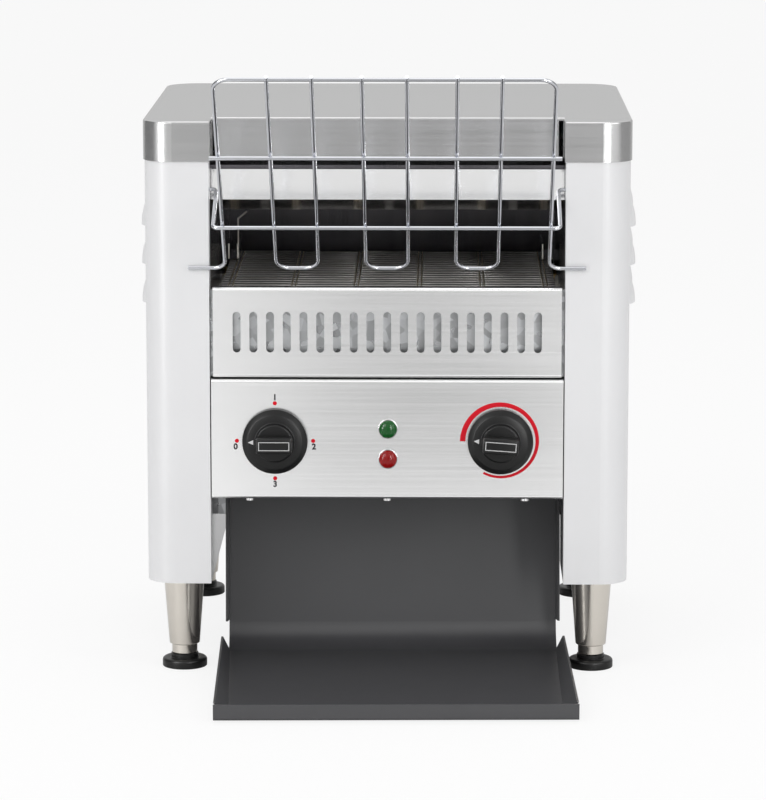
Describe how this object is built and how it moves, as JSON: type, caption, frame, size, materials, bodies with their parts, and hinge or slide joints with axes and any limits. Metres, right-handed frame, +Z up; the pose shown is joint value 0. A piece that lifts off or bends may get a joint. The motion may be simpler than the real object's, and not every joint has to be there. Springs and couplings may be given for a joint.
{
  "type": "conveyor toaster",
  "caption": "Countertop conveyor toaster with grey side columns, a stainless cap and front, two knobs, a wire feed rack and a dark discharge slide on turned legs.",
  "frame": {"origin": "centre of the overall box in plan, on the counter under the feet", "axes": "+Z up, -Y out of the front where bread goes in and toast comes out, +X to the right seen from the front"},
  "size_m": [0.383, 0.4881, 0.4745],
  "materials": {
    "side_paint": "satin light grey paint",
    "cover_steel": "brushed stainless",
    "panel_steel": "brushed stainless, grain across",
    "galvanised": "bright galvanised sheet",
    "polished_steel": "polished",
    "black_plastic": "matte black",
    "stem_steel": "turned",
    "bezel_plastic": "gloss black",
    "green_lens": "clear green",
    "red_lens": "clear red",
    "belt_steel": "heat-darkened wire",
    "bush_brass": "turned",
    "motor_metal": "cast and turned",
    "quartz": "frosted quartz",
    "ceramic_ring": "unglazed white",
    "leg_nickel": "satin nickel",
    "foot_rubber": "matte",
    "slide_steel": "dark grey, semi-matte",
    "rack_chrome": "polished wire"
  },
  "bodies": {
    "casing": {"bottom_pan": "galvanised", "cable_gland": "black_plastic", "control_box": "galvanised", "control_panel": "panel_steel", "conveyor_belt": "belt_steel", "drive_chain": "belt_steel", "element_insulators": "ceramic_ring", "fan_frame": "black_plastic", "front_deflector": "polished_steel", "front_left_leg": "leg_nickel", "front_right_leg": "leg_nickel", "gear_motor": "motor_metal", "green_lamp_body": "bezel_plastic", "green_lamp_lens": "green_lens", "inner_chute": "galvanised", "left_base_plate": "galvanised", "left_inner_wall": "galvanised", "left_side_panel": "side_paint", "lower_element_1": "quartz", "lower_element_2": "quartz", "lower_element_3": "quartz", "lower_heat_shield": "galvanised", "panel_screws": "stem_steel", "rear_deflector": "galvanised", "rear_left_leg": "leg_nickel", "rear_panel": "galvanised", "rear_right_leg": "leg_nickel", "red_lamp_body": "bezel_plastic", "red_lamp_lens": "red_lens", "right_base_plate": "galvanised", "right_inner_wall": "galvanised", "right_side_panel": "side_paint", "selector_switch": "black_plastic", "shaft_bushes": "bush_brass", "slot_backing_sheet": "galvanised", "slotted_front_panel": "panel_steel", "speed_controller": "black_plastic", "top_cover": "cover_steel", "upper_element_1": "quartz", "upper_element_2": "quartz", "upper_element_3": "quartz", "upper_reflector": "galvanised"},
    "selector_knob": {"selector_knob": "black_plastic", "selector_stem": "stem_steel"},
    "speed_knob": {"speed_knob": "black_plastic", "speed_stem": "stem_steel"},
    "drive_shaft": {"drive_shaft": "stem_steel", "drive_belt_sprockets": "belt_steel", "driven_chain_sprocket": "belt_steel"},
    "idler_shaft": {"idler_shaft": "stem_steel", "idler_belt_sprockets": "belt_steel"},
    "motor_stem": {"motor_stem": "stem_steel", "motor_chain_sprocket": "belt_steel"},
    "fan_rotor": {"fan_rotor": "black_plastic"},
    "feed_rack": {"feed_rack": "rack_chrome"},
    "discharge_slide": {"discharge_slide": "slide_steel"},
    "front_left_foot": {"front_left_foot": "foot_rubber"},
    "front_right_foot": {"front_right_foot": "foot_rubber"},
    "rear_left_foot": {"rear_left_foot": "foot_rubber"},
    "rear_right_foot": {"rear_right_foot": "foot_rubber"}
  },
  "joints": [
    {"name": "selector_turn", "type": "hinge", "parent": "casing", "child": "selector_knob", "pos_m": [-0.0853, -0.07807, 0.1816], "axis": [0, 1, 0], "range_deg": [0, 270]},
    {"name": "speed_turn", "type": "hinge", "parent": "casing", "child": "speed_knob", "pos_m": [0.0861, -0.07807, 0.1816], "axis": [0, 1, 0], "range_deg": [-5, 295]},
    {"name": "drive_shaft_turn", "type": "hinge", "parent": "casing", "child": "drive_shaft", "pos_m": [0, 0.16193, 0.274], "axis": [1, 0, 0], "continuous": true},
    {"name": "idler_shaft_turn", "type": "hinge", "parent": "casing", "child": "idler_shaft", "pos_m": [0, -0.04307, 0.274], "axis": [1, 0, 0], "continuous": true},
    {"name": "motor_turn", "type": "hinge", "parent": "casing", "child": "motor_stem", "pos_m": [0, 0.13693, 0.138], "axis": [1, 0, 0], "continuous": true},
    {"name": "fan_turn", "type": "hinge", "parent": "casing", "child": "fan_rotor", "pos_m": [0.01, 0.23293, 0.1437], "axis": [0, 1, 0], "continuous": true},
    {"name": "rack_lift", "type": "hinge", "parent": "casing", "child": "feed_rack", "pos_m": [0, -0.07007, 0.3731], "axis": [-1, 0, 0], "range_deg": [0, 110]},
    {"name": "slide_pull", "type": "slide", "parent": "casing", "child": "discharge_slide", "axis": [0, -1, 0], "range_m": [0, 0.12]},
    {"name": "front_left_foot_turn", "type": "hinge", "parent": "casing", "child": "front_left_foot", "pos_m": [-0.157, -0.05107, 0.007], "axis": [0, 0, 1], "continuous": true},
    {"name": "front_right_foot_turn", "type": "hinge", "parent": "casing", "child": "front_right_foot", "pos_m": [0.157, -0.05107, 0.007], "axis": [0, 0, 1], "continuous": true},
    {"name": "rear_left_foot_turn", "type": "hinge", "parent": "casing", "child": "rear_left_foot", "pos_m": [-0.157, 0.20593, 0.007], "axis": [0, 0, 1], "continuous": true},
    {"name": "rear_right_foot_turn", "type": "hinge", "parent": "casing", "child": "rear_right_foot", "pos_m": [0.157, 0.20593, 0.007], "axis": [0, 0, 1], "continuous": true}
  ],
  "couplings": [
    {"joint": "idler_shaft_turn", "follows": "drive_shaft_turn", "ratio": 1},
    {"joint": "motor_turn", "follows": "drive_shaft_turn", "ratio": 1.5}
  ]
}
